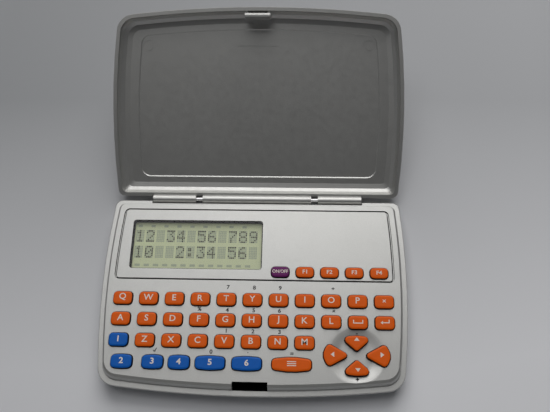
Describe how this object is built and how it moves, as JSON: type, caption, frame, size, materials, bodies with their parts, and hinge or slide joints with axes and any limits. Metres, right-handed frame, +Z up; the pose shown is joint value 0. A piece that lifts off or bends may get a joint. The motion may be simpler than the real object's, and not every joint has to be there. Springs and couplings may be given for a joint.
{
  "type": "handheld electronic translator",
  "caption": "Handheld translator: bowed flat case with a recessed display, rounded push keys, a ring of arrow keys and a hinged tray-shaped lid held open on its stop.",
  "frame": {"origin": "centre of the flat underside of the case, on the surface it lies on", "axes": "+Z up, +Y from the keyboard's front edge to the hinge, +X to the user's right"},
  "size_m": [0.119, 0.1493, 0.0401],
  "materials": {
    "housing": "silver-painted, fine satin grain",
    "display_plate": "silver-painted, smooth satin",
    "lens": "clear polished acrylic",
    "lcd": "yellow-green reflective liquid crystal display",
    "connector_rubber": "layered black and grey connector rubber",
    "board": "green solder mask",
    "silicone": "grey translucent silicone",
    "steel": "nickel-plated steel",
    "screw_steel": "zinc-plated steel",
    "brass": "plain brass disc with a pale ceramic face",
    "key_orange": "smooth orange plastic",
    "key_blue": "smooth blue plastic",
    "key_purple": "smooth purple plastic"
  },
  "bodies": {
    "case": {"bottom_case": "housing", "top_case": "housing", "display_plate": "display_plate", "display_lens": "lens", "lcd_glass": "lcd", "elastomer_strips": "connector_rubber", "circuit_board": "board", "keypad_membrane": "silicone", "battery_door": "housing", "coin_cells": "steel", "battery_contacts": "steel", "buzzer_disc": "brass", "case_screws": "screw_steel", "hinge_pins": "steel"},
    "lid": {"lid": "housing"},
    "key_on_off_cap": {"key_on_off": "key_purple"},
    "key_edit_cap": {"key_edit": "key_orange"},
    "key_delete_cap": {"key_delete": "key_orange"},
    "key_calc_cap": {"key_calc": "key_orange"},
    "key_mode_cap": {"key_mode": "key_orange"},
    "key_q_cap": {"key_q": "key_orange"},
    "key_w_cap": {"key_w": "key_orange"},
    "key_e_cap": {"key_e": "key_orange"},
    "key_r_cap": {"key_r": "key_orange"},
    "key_t_cap": {"key_t": "key_orange"},
    "key_y_cap": {"key_y": "key_orange"},
    "key_u_cap": {"key_u": "key_orange"},
    "key_i_cap": {"key_i": "key_orange"},
    "key_o_cap": {"key_o": "key_orange"},
    "key_p_cap": {"key_p": "key_orange"},
    "key_esc_cap": {"key_esc": "key_orange"},
    "key_a_cap": {"key_a": "key_orange"},
    "key_s_cap": {"key_s": "key_orange"},
    "key_d_cap": {"key_d": "key_orange"},
    "key_f_cap": {"key_f": "key_orange"},
    "key_g_cap": {"key_g": "key_orange"},
    "key_h_cap": {"key_h": "key_orange"},
    "key_j_cap": {"key_j": "key_orange"},
    "key_k_cap": {"key_k": "key_orange"},
    "key_l_cap": {"key_l": "key_orange"},
    "key_space_cap": {"key_space": "key_orange"},
    "key_enter_cap": {"key_enter": "key_orange"},
    "key_language_1_cap": {"key_language_1": "key_blue"},
    "key_z_cap": {"key_z": "key_orange"},
    "key_x_cap": {"key_x": "key_orange"},
    "key_c_cap": {"key_c": "key_orange"},
    "key_v_cap": {"key_v": "key_orange"},
    "key_b_cap": {"key_b": "key_orange"},
    "key_n_cap": {"key_n": "key_orange"},
    "key_m_cap": {"key_m": "key_orange"},
    "key_language_2_cap": {"key_language_2": "key_blue"},
    "key_language_3_cap": {"key_language_3": "key_blue"},
    "key_language_4_cap": {"key_language_4": "key_blue"},
    "key_language_5_cap": {"key_language_5": "key_blue"},
    "key_language_6_cap": {"key_language_6": "key_blue"},
    "key_phrase_cap": {"key_phrase": "key_orange"},
    "key_right_cap": {"key_right": "key_orange"},
    "key_up_cap": {"key_up": "key_orange"},
    "key_left_cap": {"key_left": "key_orange"},
    "key_down_cap": {"key_down": "key_orange"}
  },
  "joints": [
    {"name": "lid_hinge", "type": "hinge", "parent": "case", "child": "lid", "pos_m": [0, 0.0394, 0.0058], "axis": [1, 0, 0], "range_deg": [0, 153.3]},
    {"name": "key_on_off_press", "type": "slide", "parent": "case", "child": "key_on_off_cap", "axis": [0, 0, -1], "range_m": [0, 0.0008], "stiffness_N_per_m": 600, "springref_m": -0.0004},
    {"name": "key_edit_press", "type": "slide", "parent": "case", "child": "key_edit_cap", "axis": [0, 0, -1], "range_m": [0, 0.0008], "stiffness_N_per_m": 600, "springref_m": -0.0004},
    {"name": "key_delete_press", "type": "slide", "parent": "case", "child": "key_delete_cap", "axis": [0, 0, -1], "range_m": [0, 0.0008], "stiffness_N_per_m": 600, "springref_m": -0.0004},
    {"name": "key_calc_press", "type": "slide", "parent": "case", "child": "key_calc_cap", "axis": [0, 0, -1], "range_m": [0, 0.0008], "stiffness_N_per_m": 600, "springref_m": -0.0004},
    {"name": "key_mode_press", "type": "slide", "parent": "case", "child": "key_mode_cap", "axis": [0, 0, -1], "range_m": [0, 0.0008], "stiffness_N_per_m": 600, "springref_m": -0.0004},
    {"name": "key_q_press", "type": "slide", "parent": "case", "child": "key_q_cap", "axis": [0, 0, -1], "range_m": [0, 0.0008], "stiffness_N_per_m": 600, "springref_m": -0.0004},
    {"name": "key_w_press", "type": "slide", "parent": "case", "child": "key_w_cap", "axis": [0, 0, -1], "range_m": [0, 0.0008], "stiffness_N_per_m": 600, "springref_m": -0.0004},
    {"name": "key_e_press", "type": "slide", "parent": "case", "child": "key_e_cap", "axis": [0, 0, -1], "range_m": [0, 0.0008], "stiffness_N_per_m": 600, "springref_m": -0.0004},
    {"name": "key_r_press", "type": "slide", "parent": "case", "child": "key_r_cap", "axis": [0, 0, -1], "range_m": [0, 0.0008], "stiffness_N_per_m": 600, "springref_m": -0.0004},
    {"name": "key_t_press", "type": "slide", "parent": "case", "child": "key_t_cap", "axis": [0, 0, -1], "range_m": [0, 0.0008], "stiffness_N_per_m": 600, "springref_m": -0.0004},
    {"name": "key_y_press", "type": "slide", "parent": "case", "child": "key_y_cap", "axis": [0, 0, -1], "range_m": [0, 0.0008], "stiffness_N_per_m": 600, "springref_m": -0.0004},
    {"name": "key_u_press", "type": "slide", "parent": "case", "child": "key_u_cap", "axis": [0, 0, -1], "range_m": [0, 0.0008], "stiffness_N_per_m": 600, "springref_m": -0.0004},
    {"name": "key_i_press", "type": "slide", "parent": "case", "child": "key_i_cap", "axis": [0, 0, -1], "range_m": [0, 0.0008], "stiffness_N_per_m": 600, "springref_m": -0.0004},
    {"name": "key_o_press", "type": "slide", "parent": "case", "child": "key_o_cap", "axis": [0, 0, -1], "range_m": [0, 0.0008], "stiffness_N_per_m": 600, "springref_m": -0.0004},
    {"name": "key_p_press", "type": "slide", "parent": "case", "child": "key_p_cap", "axis": [0, 0, -1], "range_m": [0, 0.0008], "stiffness_N_per_m": 600, "springref_m": -0.0004},
    {"name": "key_esc_press", "type": "slide", "parent": "case", "child": "key_esc_cap", "axis": [0, 0, -1], "range_m": [0, 0.0008], "stiffness_N_per_m": 600, "springref_m": -0.0004},
    {"name": "key_a_press", "type": "slide", "parent": "case", "child": "key_a_cap", "axis": [0, 0, -1], "range_m": [0, 0.0008], "stiffness_N_per_m": 600, "springref_m": -0.0004},
    {"name": "key_s_press", "type": "slide", "parent": "case", "child": "key_s_cap", "axis": [0, 0, -1], "range_m": [0, 0.0008], "stiffness_N_per_m": 600, "springref_m": -0.0004},
    {"name": "key_d_press", "type": "slide", "parent": "case", "child": "key_d_cap", "axis": [0, 0, -1], "range_m": [0, 0.0008], "stiffness_N_per_m": 600, "springref_m": -0.0004},
    {"name": "key_f_press", "type": "slide", "parent": "case", "child": "key_f_cap", "axis": [0, 0, -1], "range_m": [0, 0.0008], "stiffness_N_per_m": 600, "springref_m": -0.0004},
    {"name": "key_g_press", "type": "slide", "parent": "case", "child": "key_g_cap", "axis": [0, 0, -1], "range_m": [0, 0.0008], "stiffness_N_per_m": 600, "springref_m": -0.0004},
    {"name": "key_h_press", "type": "slide", "parent": "case", "child": "key_h_cap", "axis": [0, 0, -1], "range_m": [0, 0.0008], "stiffness_N_per_m": 600, "springref_m": -0.0004},
    {"name": "key_j_press", "type": "slide", "parent": "case", "child": "key_j_cap", "axis": [0, 0, -1], "range_m": [0, 0.0008], "stiffness_N_per_m": 600, "springref_m": -0.0004},
    {"name": "key_k_press", "type": "slide", "parent": "case", "child": "key_k_cap", "axis": [0, 0, -1], "range_m": [0, 0.0008], "stiffness_N_per_m": 600, "springref_m": -0.0004},
    {"name": "key_l_press", "type": "slide", "parent": "case", "child": "key_l_cap", "axis": [0, 0, -1], "range_m": [0, 0.0008], "stiffness_N_per_m": 600, "springref_m": -0.0004},
    {"name": "key_space_press", "type": "slide", "parent": "case", "child": "key_space_cap", "axis": [0, 0, -1], "range_m": [0, 0.0008], "stiffness_N_per_m": 600, "springref_m": -0.0004},
    {"name": "key_enter_press", "type": "slide", "parent": "case", "child": "key_enter_cap", "axis": [0, 0, -1], "range_m": [0, 0.0008], "stiffness_N_per_m": 600, "springref_m": -0.0004},
    {"name": "key_language_1_press", "type": "slide", "parent": "case", "child": "key_language_1_cap", "axis": [0, 0, -1], "range_m": [0, 0.0008], "stiffness_N_per_m": 600, "springref_m": -0.0004},
    {"name": "key_z_press", "type": "slide", "parent": "case", "child": "key_z_cap", "axis": [0, 0, -1], "range_m": [0, 0.0008], "stiffness_N_per_m": 600, "springref_m": -0.0004},
    {"name": "key_x_press", "type": "slide", "parent": "case", "child": "key_x_cap", "axis": [0, 0, -1], "range_m": [0, 0.0008], "stiffness_N_per_m": 600, "springref_m": -0.0004},
    {"name": "key_c_press", "type": "slide", "parent": "case", "child": "key_c_cap", "axis": [0, 0, -1], "range_m": [0, 0.0008], "stiffness_N_per_m": 600, "springref_m": -0.0004},
    {"name": "key_v_press", "type": "slide", "parent": "case", "child": "key_v_cap", "axis": [0, 0, -1], "range_m": [0, 0.0008], "stiffness_N_per_m": 600, "springref_m": -0.0004},
    {"name": "key_b_press", "type": "slide", "parent": "case", "child": "key_b_cap", "axis": [0, 0, -1], "range_m": [0, 0.0008], "stiffness_N_per_m": 600, "springref_m": -0.0004},
    {"name": "key_n_press", "type": "slide", "parent": "case", "child": "key_n_cap", "axis": [0, 0, -1], "range_m": [0, 0.0008], "stiffness_N_per_m": 600, "springref_m": -0.0004},
    {"name": "key_m_press", "type": "slide", "parent": "case", "child": "key_m_cap", "axis": [0, 0, -1], "range_m": [0, 0.0008], "stiffness_N_per_m": 600, "springref_m": -0.0004},
    {"name": "key_language_2_press", "type": "slide", "parent": "case", "child": "key_language_2_cap", "axis": [0, 0, -1], "range_m": [0, 0.0008], "stiffness_N_per_m": 600, "springref_m": -0.0004},
    {"name": "key_language_3_press", "type": "slide", "parent": "case", "child": "key_language_3_cap", "axis": [0, 0, -1], "range_m": [0, 0.0008], "stiffness_N_per_m": 600, "springref_m": -0.0004},
    {"name": "key_language_4_press", "type": "slide", "parent": "case", "child": "key_language_4_cap", "axis": [0, 0, -1], "range_m": [0, 0.0008], "stiffness_N_per_m": 600, "springref_m": -0.0004},
    {"name": "key_language_5_press", "type": "slide", "parent": "case", "child": "key_language_5_cap", "axis": [0, 0, -1], "range_m": [0, 0.0008], "stiffness_N_per_m": 600, "springref_m": -0.0004},
    {"name": "key_language_6_press", "type": "slide", "parent": "case", "child": "key_language_6_cap", "axis": [0, 0, -1], "range_m": [0, 0.0008], "stiffness_N_per_m": 600, "springref_m": -0.0004},
    {"name": "key_phrase_press", "type": "slide", "parent": "case", "child": "key_phrase_cap", "axis": [0, 0, -1], "range_m": [0, 0.0008], "stiffness_N_per_m": 600, "springref_m": -0.0004},
    {"name": "key_right_press", "type": "slide", "parent": "case", "child": "key_right_cap", "axis": [0, 0, -1], "range_m": [0, 0.0008], "stiffness_N_per_m": 600, "springref_m": -0.0004},
    {"name": "key_up_press", "type": "slide", "parent": "case", "child": "key_up_cap", "axis": [0, 0, -1], "range_m": [0, 0.0008], "stiffness_N_per_m": 600, "springref_m": -0.0004},
    {"name": "key_left_press", "type": "slide", "parent": "case", "child": "key_left_cap", "axis": [0, 0, -1], "range_m": [0, 0.0008], "stiffness_N_per_m": 600, "springref_m": -0.0004},
    {"name": "key_down_press", "type": "slide", "parent": "case", "child": "key_down_cap", "axis": [0, 0, -1], "range_m": [0, 0.0008], "stiffness_N_per_m": 600, "springref_m": -0.0004}
  ]
}
